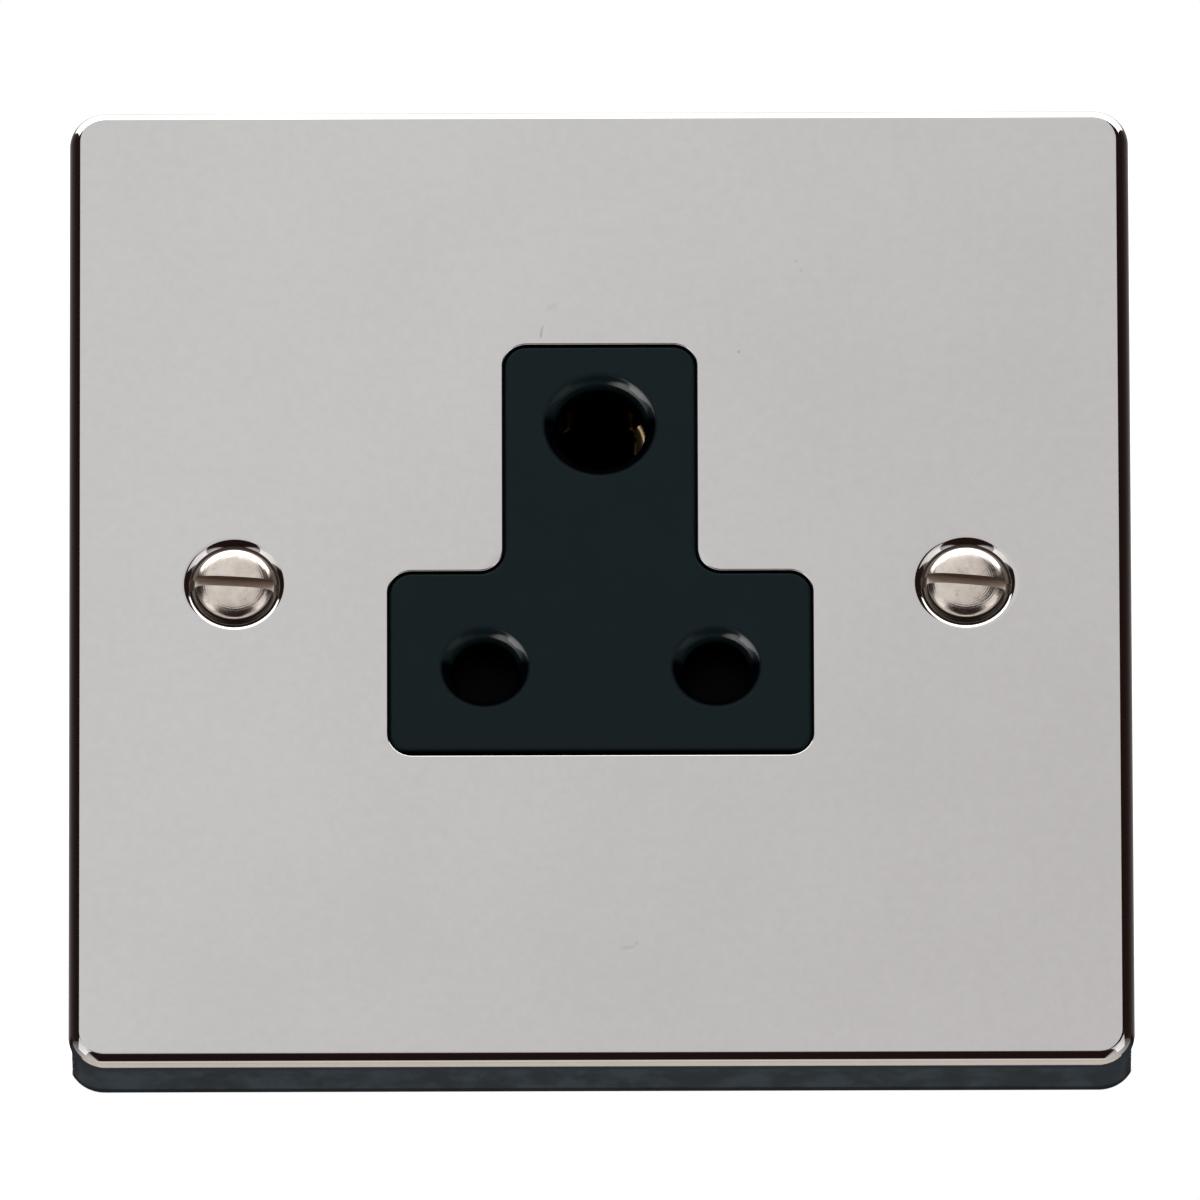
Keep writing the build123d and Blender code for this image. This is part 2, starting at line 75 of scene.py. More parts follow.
mounts = {mount["name"]: mount for mount in frame["record"]["mounts"]}
print("frame loaded:", len(nodes), "nodes")


def pinHole(mount):
    # x, z and radius
    place = mount["pos_m"]
    return place[0] / mm, place[2] / mm, mount["dims"]["r_mm"]


screwsApart = mounts["wall_fixing"]["dims"]["spacing_x_mm"]
screwCentres = [(-screwsApart / 2, 0), (screwsApart / 2, 0)]    # x, z
pinHoles = {name: pinHole(mounts[name + "_pin_hole"]) for name in ("earth", "live", "neutral")}


# Shader helpers

def plug(tree, slot, value):
    if isinstance(value, Wire):
        tree.links.new(value.socket, slot)
    else:
        slot.default_value = value


class Wire:
    # a socket that takes arithmetic: each sign adds a Math node
    def __init__(self, tree, socket):
        self.tree = tree
        self.socket = socket

    def calc(self, operation, first, second=0.0):
        made = self.tree.nodes.new("ShaderNodeMath")
        made.operation = operation
        plug(self.tree, made.inputs[0], first)
        plug(self.tree, made.inputs[1], second)
        return Wire(self.tree, made.outputs[0])

    def other(self, name):
        return Wire(self.tree, self.socket.node.outputs[name])

    def __add__(self, value):
        return self.calc("ADD", self, value)

    def __radd__(self, value):
        return self.calc("ADD", value, self)

    def __sub__(self, value):
        return self.calc("SUBTRACT", self, value)

    def __rsub__(self, value):
        return self.calc("SUBTRACT", value, self)

    def __mul__(self, value):
        return self.calc("MULTIPLY", self, value)

    def __rmul__(self, value):
        return self.calc("MULTIPLY", value, self)

    def __truediv__(self, value):
        return self.calc("DIVIDE", self, value)

    def __rtruediv__(self, value):
        return self.calc("DIVIDE", value, self)

    def __pow__(self, value):
        return self.calc("POWER", self, value)

    def __neg__(self):
        return self.calc("SUBTRACT", 0.0, self)

    def __abs__(self):
        return self.calc("ABSOLUTE", self)


def rgba(value):
    return (*value, 1) if isinstance(value, tuple) else value


class Shading:
    # a node tree, where every node but the sums comes from add()
    def __init__(self, tree):
        self.tree = tree

    def add(self, kind, settings=None, values=None, out=0):
        made = self.tree.nodes.new("ShaderNode" + kind)
        for name, setting in (settings or {}).items():
            setattr(made, name, setting)
        for name, value in (values or {}).items():
            plug(self.tree, made.inputs[name], value)
        return Wire(self.tree, made.outputs[out])

    def mix(self, share, first, second):
        settings = {"data_type": "RGBA", "clamp_factor": True}
        return self.add("Mix", settings, {0: share, 6: rgba(first), 7: rgba(second)}, 2)

    def ease(self, value, low, high, start=0.0, end=1.0):
        # goes smoothly from start to end as value goes from low to high
        values = {"Value": value, "From Min": low, "From Max": high, "To Min": start, "To Max": end}
        return self.add("MapRange", {"interpolation_type": "SMOOTHSTEP"}, values)

    def fade(self, value, low, high):
        # goes smoothly from 1 to 0
        return self.ease(value, low, high, 1.0, 0.0)

    def between(self, value, low, high, soft):
        # 1 from low to high, with soft ends
        return self.ease(value, low - soft, low + soft) * self.fade(value, high - soft, high + soft)

    def larger(self, first, second):
        return self.add("Math", {"operation": "MAXIMUM"}, {0: first, 1: second})

    def noise(self, here, size, detail=2.0, rough=0.5, twist=0.0):
        # size is the width of one blotch in millimetres
        values = {
            "Vector": here,
            "Scale": 1 / (size * mm),
            "Detail": detail,
            "Roughness": rough,
            "Distortion": twist,
        }
        return self.add("TexNoise", None, values)

    def stretch(self, here, x, y, z):
        return self.add("VectorMath", {"operation": "MULTIPLY"}, {0: here, 1: (x, y, z)})


class Finish(Shading):
    def __init__(self, name):
        self.material = bpy.data.materials.new(name)
        self.material.use_nodes = True
        super().__init__(self.material.node_tree)
        self.shader = self.tree.nodes["Principled BSDF"]

    def place(self):
        # object coordinates, a vector in metres
        return self.add("TexCoord", out="Object")

    def lengths(self, here):
        # the vector's three parts in millimetres
        split = self.add("SeparateXYZ", None, {"Vector": here})
        return split / mm, split.other("Y") / mm, split.other("Z") / mm

    def away(self, x, z, centre):
        # how far a point is from an axis along Y
        dx, dz = x - centre[0], z - centre[1]
        return (dx * dx + dz * dz) ** 0.5

    def bump(self, height, depth):
        # depth is the relief's height in millimetres
        return self.add("Bump", None, {"Height": height, "Distance": depth * mm, "Strength": 1.0})

    def paint(self, values):
        for name, value in values.items():
            plug(self.tree, self.shader.inputs[name], rgba(value))
        return self.material

    def metal(self, colour, rough, normal):
        return self.paint({"Base Color": colour, "Roughness": rough, "Metallic": 1.0, "Normal": normal})

    def dull(self, share, colour):
        # a matt surface takes over by a share
        gloss = Wire(self.tree, self.shader.outputs[0])
        matt = self.add("BsdfDiffuse", None, {"Color": rgba(colour)})
        both = self.add("MixShader", None, {0: share, 1: gloss, 2: matt})
        plug(self.tree, self.tree.nodes["Material Output"].inputs["Surface"], both)


# Mesh helpers

def cornered(corners, radius, steps):
    # a closed outline with square corners rounded: points with their outward directions, anticlockwise
    ring = []
    for index, corner in enumerate(corners):
        before = (corner - corners[index - 1]).normalized()
        after = (corners[(index + 1) % len(corners)] - corner).normalized()
        turn = before.x * after.y - before.y * after.x
        centre = corner + (after - before) * radius
        start = atan2(-before.x, before.y)
        for step in range(steps + 1):
            angle = start + turn * pi / 2 * step / steps
            out = Vector((cos(angle), sin(angle)))
            ring.append((centre + turn * radius * out, out))
    return ring


def circle(x, z, steps):
    turns = [2 * pi * step / steps for step in range(steps)]
    return [(Vector((x, z)), Vector((cos(turn), sin(turn)))) for turn in turns]


def sweep(bm, ring, profile, backFrom=None):
    # profile points are (shift along the outward direction, y)
    # faces past backFrom take the second finish
    rows = []
    for shift, y in profile:
        rows.append([bm.verts.new((p.x + out.x * shift, y, p.y + out.y * shift)) for p, out in ring])
    for index in range(len(rows) - 1):
        near, far = rows[index], rows[index + 1]
        for step in range(len(ring)):
            face = bm.faces.new((near[step - 1], near[step], far[step], far[step - 1]))
            face.material_index = 1 if backFrom is not None and index >= backFrom else 0
    return rows


def fillFlat(bm, rows, finish=0):
    # one flat sheet between an outer loop and the loops inside it
    edges = [bm.edges.get((row[step - 1], row[step])) for row in rows for step in range(len(row))]
    made = bmesh.ops.triangle_fill(bm, use_beauty=True, edges=edges)
    for face in made["geom"]:
        if isinstance(face, bmesh.types.BMFace):
            face.material_index = finish


def quarter(radius, steps):
    # (along, across) of a quarter round, from flat to upright
    angles = [pi / 2 * step / steps for step in range(steps + 1)]
    return [(radius * (1 - sin(angle)), radius * (1 - cos(angle))) for angle in angles]


def toMesh(bm, name):
    bmesh.ops.recalc_face_normals(bm, faces=bm.faces)
    bmesh.ops.scale(bm, vec=(mm, mm, mm), verts=bm.verts)
    mesh = bpy.data.meshes.new(name)
    bm.to_mesh(mesh)
    bm.free()
    return mesh


def joinMeshes(name, meshes):
    bm = bmesh.new()
    for mesh in meshes:
        bm.from_mesh(mesh)
        bpy.data.meshes.remove(mesh)
    joined = bpy.data.meshes.new(name)
    bm.to_mesh(joined)
    bm.free()
    return joined


def cutAway(mesh, cutter):
    # the mesh with the cutter's volume taken out, the cut faces in the second finish
    items = [bpy.data.objects.new("cutting", data) for data in (mesh, cutter)]
    for item in items:
        scene.collection.objects.link(item)
        item.data.materials.append(None)
        item.data.materials.append(None)
    for face in cutter.polygons:
        face.material_index = 1
    cut = items[0].modifiers.new("cut", "BOOLEAN")
    cut.operation = "DIFFERENCE"
    cut.solver = "EXACT"
    cut.object = items[1]
    bpy.context.view_layer.update()
    evaluated = items[0].evaluated_get(bpy.context.evaluated_depsgraph_get())
    result = bpy.data.meshes.new_from_object(evaluated)
    for item in items:
        bpy.data.objects.remove(item)
    return result


def addPiece(name, mesh, finishes, stands, sharp=32):
    # edges that turn by more than sharp degrees stay sharp
    piece = bpy.data.objects.new(name, mesh)
    scene.collection.objects.link(piece)
    for finish in finishes:
        mesh.materials.append(finish)
    mesh.shade_smooth()
    mesh.set_sharp_from_angle(angle=radians(sharp))
    even = piece.modifiers.new("evenNormals", "WEIGHTED_NORMAL")
    even.keep_sharp = True
    even.weight = 100
    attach(piece, "housing")
    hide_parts(stands)
    print(name, "made:", len(mesh.polygons), "faces")
    return piece


def boxOf(node):
    # a node's lowest and highest corners in millimetres
    return [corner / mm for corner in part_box(node)]


# Finishes
# A look holds colours, noises as (blotch in mm, detail, roughness), ranges that make a mask of a noise or
# of a place in mm, stretches of the pattern along x, y, z, and the height of the relief in mm.

chromeLook = {
    "pale": (0.580, 0.562, 0.555),
    "deep": (0.552, 0.534, 0.528),
    # the colour of the marks, and also of the painted shade along the back of the walls
    "stain": (0.13, 0.11, 0.10),
    # painted light: the walls take this paler colour, unevenly, so that they mirror brighter than the face
    "wall": (0.86, 0.86, 0.85),
    "wallFrom": (-4.4, -4.0),    # y where the face ends and the walls start
    "footFrom": (-0.8, -0.5),    # painted shade: the walls darken from here to the back, where the plate meets the wall
    "footDark": 0.7,
    "mottle": (1.1, 4, 0.65),
    "cloud": (14, 2),
    "toneRange": (0.32, 0.68),
    "uneven": (4, 4, 0.6),
    "unevenRange": (0.38, 0.64),
    "grit": (0.25, 2),
    "swirl": (0.8, 3),
    "swirlStretch": (1, 1, 0.25),
    "wave": (6, 1),
    "roughness": 0.045,
    "relief": 0.003,
    # x, z, half length, half width in mm, turn in degrees, strength
    "marks": [
        (-4.8, 23.1, 0.9, 0.12, 80, 0.34),
        (-3.9, 25.5, 0.9, 0.35, 35, 0.06),
        (2.2, -33.3, 0.8, 0.25, 10, 0.15),
        (2.9, -32.9, 0.35, 0.2, 60, 0.13),
    ],
    "markEdge": (0.45, 1.5),
    "specks": {"x": 14.0, "z": 24.0, "wide": 4.5, "high": 9.0, "size": 1.5, "strength": 0.3},
    "speckEdge": (0.04, 0.13),
    "zoneEdge": (0.3, 1.0),
}


def plateDirt(finish, here, x, z, grit):
    # fine specks in one zone, and a few marks
    look, zone = chromeLook, chromeLook["specks"]
    dots = finish.add("TexVoronoi", {"feature": "F1"}, {"Vector": here, "Scale": 1 / (zone["size"] * mm)})
    along, across = (x - zone["x"]) / zone["wide"], (z - zone["z"]) / zone["high"]
    inZone = finish.fade(along * along + across * across, *look["zoneEdge"])
    dirt = finish.ease(dots, *look["speckEdge"], zone["strength"], 0.0) * inZone
    for markX, markZ, half, wide, turn, strength in look["marks"]:
        c, s = cos(radians(turn)), sin(radians(turn))
        along = ((x - markX) * c + (z - markZ) * s) / half
        across = ((z - markZ) * c - (x - markX) * s) / wide
        mark = along * along + across * across + grit
        dirt = dirt + finish.ease(mark, *look["markEdge"], strength, 0.0)
    return dirt


def chromeFinish():
    look = chromeLook
    finish = Finish("plateChrome")
    here = finish.place()
    x, y, z = finish.lengths(here)
    mottle = finish.noise(here, *look["mottle"])
    cloud = finish.noise(here, *look["cloud"])
    grit = finish.noise(here, *look["grit"])
    tone = finish.ease(mottle * 0.6 + cloud * 0.4, *look["toneRange"])
    colour = finish.mix(tone, look["deep"], look["pale"])
    # painted light: a paler, uneven base colour on the walls brightens what they mirror
    wall = finish.ease(y, *look["wallFrom"])
    uneven = finish.ease(finish.noise(here, *look["uneven"]), *look["unevenRange"])
    colour = finish.mix(wall * uneven, colour, look["wall"])
    # painted shade: the walls darken towards the back, where they meet the wall
    footShade = finish.ease(y + grit * 0.2, *look["footFrom"])
    colour = finish.mix(footShade * look["footDark"], colour, look["stain"])
    dirt = plateDirt(finish, here, x, z, grit)
    colour = finish.mix(dirt, colour, look["stain"])
    swirl = finish.noise(finish.stretch(here, *look["swirlStretch"]), *look["swirl"])
    rough = look["roughness"] + swirl * 0.03 + dirt * 0.3
    wave = finish.noise(here, *look["wave"])
    return finish.metal(colour, rough, finish.bump(wave + mottle * 0.02, look["relief"]))


plateBackLook = {
    "plated": (0.44, 0.42, 0.39),
    "brass": (0.50, 0.43, 0.30),
    "thin": (9, 4, 0.6),
    "thinRange": (0.35, 0.7),
    "drawn": (0.5, 3),
    "drawnStretch": (1, 1, 0.06),
    "roughness": 0.34,
    "relief": 0.004,
}


def plateBackFinish():
    # thin plating over drawn brass, left dull inside the dish
    look = plateBackLook
    finish = Finish("plateBack")
    here = finish.place()
    thin = finish.ease(finish.noise(here, *look["thin"]), *look["thinRange"])
    colour = finish.mix(thin, look["plated"], look["brass"])
    drawn = finish.noise(finish.stretch(here, *look["drawnStretch"]), *look["drawn"])
    rough = look["roughness"] + drawn * 0.16 + thin * 0.06
    return finish.metal(colour, rough, finish.bump(drawn, look["relief"]))


nickelLook = {
    "pale": (0.66, 0.59, 0.535),
    "deep": (0.57, 0.50, 0.445),
    # a near-black painted shade for the seam round each head
    "grime": (0.05, 0.035, 0.03),
    "stain": (0.25, 0.19, 0.16),
    "fine": (0.18, 3, 0.6),
    "blotch": (1.4, 4, 0.6),
    "blotchRange": (0.35, 0.65),
    "spots": (0.9, 3, 0.6),
    "spotsRange": (0.56, 0.72),
    "turnedTo": (4.2, 4.6),    # radius where the turning marks end
    "ringTurn": 34,    # how close they lie, in radians for each mm
    "ringHeight": 0.35,
    "seam": (3.14, 3.21),    # radius where the painted shade starts round the heads
    "land": (-5.2, -5.1),    # y where it thins out down the side
    "landGrime": 0.4,
    "roughness": 0.13,
    "relief": 0.0035,
}


def nickelFinish():
    # plated screws: turning marks run round each axis, stains gather in spots, painted shade darkens the seam
    # round each head
    look = nickelLook
    finish = Finish("screwNickel")
    here = finish.place()
    x, y, z = finish.lengths(here)
    fine = finish.noise(here, *look["fine"])
    relief, seam = fine, 0.0
    for centre in screwCentres:
        away = finish.away(x, z, centre)
        near = finish.fade(away, *look["turnedTo"])
        ring = finish.add("Math", {"operation": "SINE"}, {0: away * look["ringTurn"]})
        relief = relief + near * look["ringHeight"] * ring
        seam = near * finish.ease(away, *look["seam"]) + seam
    seam = seam * finish.ease(y, *look["land"], 1.0, look["landGrime"])
    blotch = finish.noise(here, *look["blotch"])
    stain = finish.ease(finish.noise(here, *look["spots"]), *look["spotsRange"])
    colour = finish.mix(finish.ease(blotch, *look["blotchRange"]), look["deep"], look["pale"])
    colour = finish.mix(stain * 0.3, colour, look["stain"])
    # painted shade in the seam between each head and its dimple
    colour = finish.mix(seam, colour, look["grime"])
    rough = look["roughness"] + blotch * 0.06 + fine * 0.04 + stain * 0.08 + seam * 0.3
    return finish.metal(colour, rough, finish.bump(relief, look["relief"]))


slotLook = {
    "pale": (0.76, 0.66, 0.58),
    "deep": (0.60, 0.50, 0.43),
    # painted shade for the slot walls
    "dark": (0.26, 0.20, 0.165),
    "wallTo": (-5.49, -4.89),    # y where the painted shade on the walls fades towards the floor
    "sawn": (0.16, 3, 0.6),
    "sawnStretch": (0.1, 1, 1),
    "roughness": 0.40,
    "relief": 0.006,
}


def slotFinish():
    # the sawn slots: bright floors between walls with a painted shade
    look = slotLook
    finish = Finish("slotNickel")
    here = finish.place()
    x, y, z = finish.lengths(here)
    sawn = finish.noise(finish.stretch(here, *look["sawnStretch"]), *look["sawn"])
    colour = finish.mix(sawn, look["deep"], look["pale"])
    # painted shade: the slot walls are darker than the floor
    wall = finish.fade(y + sawn * 0.2, *look["wallTo"])
    colour = finish.mix(wall, colour, look["dark"])
    rough = look["roughness"] + sawn * 0.1
    return finish.metal(colour, rough, finish.bump(sawn, look["relief"]))


platedLook = {
    "bloom": (2.2, 4, 0.6),
    "bloomRange": (0.35, 0.65),
    "fine": (0.2, 3, 0.6),
    "tinting": (3.5, 2),
    "tintRange": (0.5, 0.75),
    "tintMost": 0.5,
    "relief": 0.005,
}
copperLook = {
    "pale": (0.76, 0.42, 0.27),
    "deep": (0.58, 0.30, 0.19),
    "tint": (0.50, 0.33, 0.24),
    "roughness": 0.28,
}
zincLook = {
    "pale": (0.66, 0.68, 0.70),
    "deep": (0.50, 0.52, 0.55),
    "tint": (0.62, 0.60, 0.50),
    "roughness": 0.24,
}


def platedFinish(name, coat):
    # zinc or copper plate on small steel parts
    look = {**platedLook, **coat}
    finish = Finish(name)
    here = finish.place()
    bloom = finish.noise(here, *look["bloom"])
    fine = finish.noise(here, *look["fine"])
    tinted = finish.ease(finish.noise(here, *look["tinting"]), *look["tintRange"], 0.0, look["tintMost"])
    colour = finish.mix(finish.ease(bloom, *look["bloomRange"]), look["deep"], look["pale"])
    colour = finish.mix(tinted, colour, look["tint"])
    rough = look["roughness"] + bloom * 0.14 + fine * 0.06
    return finish.metal(colour, rough, finish.bump(fine, look["relief"]))


brassLook = {
    "lines": (0.35, 3, 0.6),
    "tarnished": (0.42, 0.27, 0.10),
    "tarnish": (3.0, 4, 0.6),
    "tarnishRange": (0.42, 0.72),
    "spotted": (0.22, 0.13, 0.06),
    "spots": (0.7, 3, 0.7),
    "spotsRange": (0.62, 0.74),
    "relief": 0.006,
}
contactLook = {
    "pale": (0.80, 0.57, 0.24),
    "deep": (0.70, 0.47, 0.18),
    "along": (1, 0.08, 1),
    "roughness": 0.20,
}
terminalLook = {
    "pale": (0.78, 0.58, 0.28),
    "deep": (0.66, 0.47, 0.20),
    "along": (1, 1, 0.08),
    "roughness": 0.24,
}
rivetLook = {
    "pale": (0.76, 0.55, 0.24),
    "deep": (0.64, 0.44, 0.18),
    "along": (1, 0.1, 0.1),
    "roughness": 0.26,
}
earthLook = {
    "pale": (0.95, 0.71, 0.38),
    "deep": (0.80, 0.56, 0.27),
    # near-black painted shade round the earth pin
    "dark": (0.006, 0.004, 0.003),
    "inside": (4.75, 4.95),    # radius round the earth pin that takes a painted shade
    "worn": (2.9, 3.3),    # the painted shade stops beyond this on the right, which stays bright
    "along": (1, 0.08, 1),
    "roughness": 0.32,
}


def brassFinish(name, stock):
    # strip or bar with marks along one direction and a light tarnish
    look = {**brassLook, **stock}
    finish = Finish(name)
    here = finish.place()
    lines = finish.noise(finish.stretch(here, *look["along"]), *look["lines"])
    tarnish = finish.ease(finish.noise(here, *look["tarnish"]), *look["tarnishRange"])
    spots = finish.ease(finish.noise(here, *look["spots"]), *look["spotsRange"])
    colour = finish.mix(lines, look["deep"], look["pale"])
    colour = finish.mix(tarnish * 0.55, colour, look["tarnished"])
    colour = finish.mix(spots * 0.5, colour, look["spotted"])
    rough = look["roughness"] + lines * 0.12 + tarnish * 0.12 + spots * 0.1
    return finish.metal(colour, rough, finish.bump(lines, look["relief"]))


def earthFinish():
    # brass, with a painted shade round the earth pin on all but its right side
    look = {**brassLook, **earthLook}
    finish = Finish("earthBrass")
    here = finish.place()
    x, y, z = finish.lengths(here)
    away = finish.away(x, z, pinHoles["earth"])
    lines = finish.noise(finish.stretch(here, *look["along"]), *look["lines"])
    # painted shade: the contact is near-black round the pin but for a bright sliver on the right
    pinHoleShade = finish.fade(away, *look["inside"]) * finish.fade(x + lines * 0.3, *look["worn"])
    colour = finish.mix(pinHoleShade, finish.mix(lines, look["deep"], look["pale"]), look["dark"])
    rough = look["roughness"] + lines * 0.12 + pinHoleShade * 0.3
    return finish.metal(colour, rough, finish.bump(lines, look["relief"]))


springLook = {
    "dark": (0.42, 0.42, 0.44),
    "pale": (0.56, 0.54, 0.50),
    "tone": (1.2, 2),
    "drawn": (0.12, 3),
    "drawnStretch": (1, 1, 4),
    "roughness": 0.26,
    "relief": 0.003,
}


def springFinish():
    look = springLook
    finish = Finish("springSteel")
    here = finish.place()
    drawn = finish.noise(finish.stretch(here, *look["drawnStretch"]), *look["drawn"])
    colour = finish.mix(finish.noise(here, *look["tone"]), look["dark"], look["pale"])
    rough = look["roughness"] + drawn * 0.16
    return finish.metal(colour, rough, finish.bump(drawn, look["relief"]))


insertLook = {
    "dark": (0.0049, 0.0118, 0.0142),
    "light": (0.0084, 0.0173, 0.0198),
    # near-black for the painted shade in the holes and along the lower edge
    "matt": (0.0008, 0.001, 0.0018),
    "grain": (0.22, 3, 0.6),
    "cloud": (5, 3),
    "relief": 0.006,
    "faceRough": 0.42,
    "lipRough": 0.20,
    "shine": 0.06,
    "coatRough": 0.12,
    "coatIor": 2.05,
    "lip": 1.05,    # width of the rounded lips
    "lipSoft": 0.4,
    "polishSoft": (0.3, 0.15),    # mm inside a lip's outer edge where its painted sheen starts
    "above": (0.1, 0.4),    # in radii from a hole's middle: its upper side gets a painted sheen,
    "right": (0.1, 0.5),    # fully to the right
    "left": (-0.6, -0.2),    # and faintly to the left
    "leftPolish": 0.04,
    "lipBack": (-4.6, -4.0),    # y where the lips end
    "lowEdge": (-15.4, -14.9),    # painted shade: the face turns matt black below this
}


def insertFinish():
    # satin face; the holes' lips get a painted sheen, a coat, at their upper sides, strongest on the right;
    # painted shade makes them matt black below and inside, and along the lower edge
    look = insertLook
    finish = Finish("insertBlack")
    here = finish.place()
    x, y, z = finish.lengths(here)
    hole, upper, paintedSheen = 0.0, 0.0, 0.0
    sheenFrom, sheenTo = look["polishSoft"]
    for holeX, holeZ, radius in pinHoles.values():
        edge = radius + look["lip"]
        away = finish.away(x, z, (holeX, holeZ))
        across, up = (x - holeX) / radius, (z - holeZ) / radius
        inside = finish.fade(away, edge - look["lipSoft"], edge)
        above = inside * finish.ease(up, *look["above"])
        right = finish.ease(across, *look["right"])
        left = finish.ease(across, *look["left"], look["leftPolish"], 0.0)
        # the painted shade covers the bores and the lips inside edge
        hole = inside + hole
        upper = above + upper
        # painted highlight: the coat goes only on the upper lips, strongest on the right side of each hole
        paintedSheen = above * finish.fade(away, edge - sheenFrom, edge - sheenTo) * (left + right) + paintedSheen
    front = finish.fade(y, *look["lipBack"])
    lip = upper * front
    lowEdgeShade = finish.fade(z, *look["lowEdge"])
    grain = finish.noise(here, *look["grain"])
    cloud = finish.noise(here, *look["cloud"])
    colour = finish.mix(cloud * 0.5 + grain * 0.5, look["dark"], look["light"])
    rough = finish.ease(lip, 0, 1, look["faceRough"], look["lipRough"]) + grain * 0.08
    normal = finish.bump(grain * (1 - lip * 0.85), look["relief"])
    # painted shade: the bores, the lower lips and the lower edge turn matt black
    finish.dull(hole - lip + lowEdgeShade, look["matt"])
    return finish.paint({
        "Base Color": colour,
        "Roughness": rough,
        "Normal": normal,
        # the coat weight is the painted sheen on the upper lips
        "Coat Weight": paintedSheen * front,
        "Coat Roughness": look["coatRough"],
        "Coat IOR": look["coatIor"],
        "Specular IOR Level": look["shine"],
    })


mouldedLook = {
    "grain": (0.3, 3, 0.6),
    "flow": (7, 3, 0.55, 0.6),    # with a twist
    "flowStretch": (1, 0.4, 1),
    "scuff": (1.1, 4, 0.7),
    "scuffStretch": (0.3, 1, 1),
    "scuffRange": (0.62, 0.78),
    "scuffPaler": 2.4,
}
baseLook = {
    "dark": (0.006, 0.0065, 0.007),
    "light": (0.013, 0.013, 0.0135),
    "roughness": 0.46,
    "shine": 0.4,
    "relief": 0.012,
}
shutterLook = {
    "dark": (0.0005, 0.0006, 0.001),
    "light": (0.001, 0.0011, 0.0016),
    "roughness": 0.5,
    "shine": 0.04,
    "relief": 0.006,
}


def mouldedFinish(name, moulding):
    # black moulding: a fine tool texture, faint flow clouds and paler scuffs
    look = {**mouldedLook, **moulding}
    finish = Finish(name)
    here = finish.place()
    grain = finish.noise(here, *look["grain"])
    flow = finish.noise(finish.stretch(here, *look["flowStretch"]), *look["flow"])
    rubs = finish.noise(finish.stretch(here, *look["scuffStretch"]), *look["scuff"])
    scuff = finish.ease(rubs, *look["scuffRange"])
    scuffed = tuple(look["scuffPaler"] * level for level in look["light"])
    colour = finish.mix(flow * 0.6 + grain * 0.4, look["dark"], look["light"])
    colour = finish.mix(scuff * 0.3, colour, scuffed)
    return finish.paint({
        "Base Color": colour,
        "Roughness": look["roughness"] + grain * 0.12 - flow * 0.06,
        "Normal": finish.bump(grain + flow * 0.4, look["relief"]),
        "Specular IOR Level": look["shine"],
    })


plateChrome = chromeFinish()
plateBack = plateBackFinish()
screwNickel = nickelFinish()
slotNickel = slotFinish()
studCopper = platedFinish("studCopper", copperLook)
zincBlue = platedFinish("zincBlue", zincLook)
contactBrass = brassFinish("contactBrass", contactLook)
terminalBrass = brassFinish("terminalBrass", terminalLook)
strapBrass = brassFinish("strapBrass", rivetLook)
earthBrass = earthFinish()
springSteel = springFinish()
insertBlack = insertFinish()
baseBlack = mouldedFinish("baseBlack", baseLook)
shutterBlack = mouldedFinish("shutterBlack", shutterLook)
print("finishes made:", len(bpy.data.materials))


# Front plate: a dish with a rolled front edge, the T opening and two dimples

plateLow, plateHigh = boxOf("front_plate")
plateForm = {
    "half": plateHigh.x,
    "face": plateLow.y,
    "wall": plateHigh.y,
    "sheet": 1.2,
    "corner": 3.0,
    "edge": 1.15,
    "innerEdge": 0.4,
    "openingEdge": 0.12,
    "rimEdge": 0.08,
    "steps": {"edge": 20, "corner": 24, "small": 5, "tee": 16, "lip": 10, "dimple": 128},
    "dimple": {"rim": 4.375, "round": 1.2, "sheet": 1.0, "hole": 2.1, "slope": 45.0},
    "tee": {"bar": 8.0, "base": 17.5, "top": 22.0, "shoulder": 1.2, "bottom": -15.7, "corner": 2.0},
}


def teeCorners(tee):
    bar, base = tee["bar"], tee["base"]
    low, shoulder, top = tee["bottom"], tee["shoulder"], tee["top"]
    points = [(-base, low), (base, low), (base, shoulder), (bar, shoulder), (bar, top), (-bar, top),
              (-bar, shoulder), (-base, shoulder)]
    return [Vector(point) for point in points]


def dimpleProfile(form):
    # a rounded lip, the cone, and the back of the cone up to the sheet
    dimple, face, steps = form["dimple"], form["face"], form["steps"]["lip"]
    slope = radians(dimple["slope"])
    profile = []
    for step in range(steps + 1):
        angle = slope * step / steps
        inward, sunk = dimple["round"] * sin(angle), dimple["round"] * (1 - cos(angle))
        profile.append((dimple["rim"] - inward, face + sunk))
    lipRadius, lipY = profile[-1]
    coneY = lipY + (lipRadius - dimple["hole"]) / tan(slope)
    shift = dimple["sheet"] / sin(slope)
    seat = face + form["sheet"]
    backRadius = lipRadius + (lipY + shift - seat) * tan(slope)
    profile += [(dimple["hole"], coneY), (dimple["hole"], coneY + shift), (backRadius, seat)]
    return profile, steps + 1


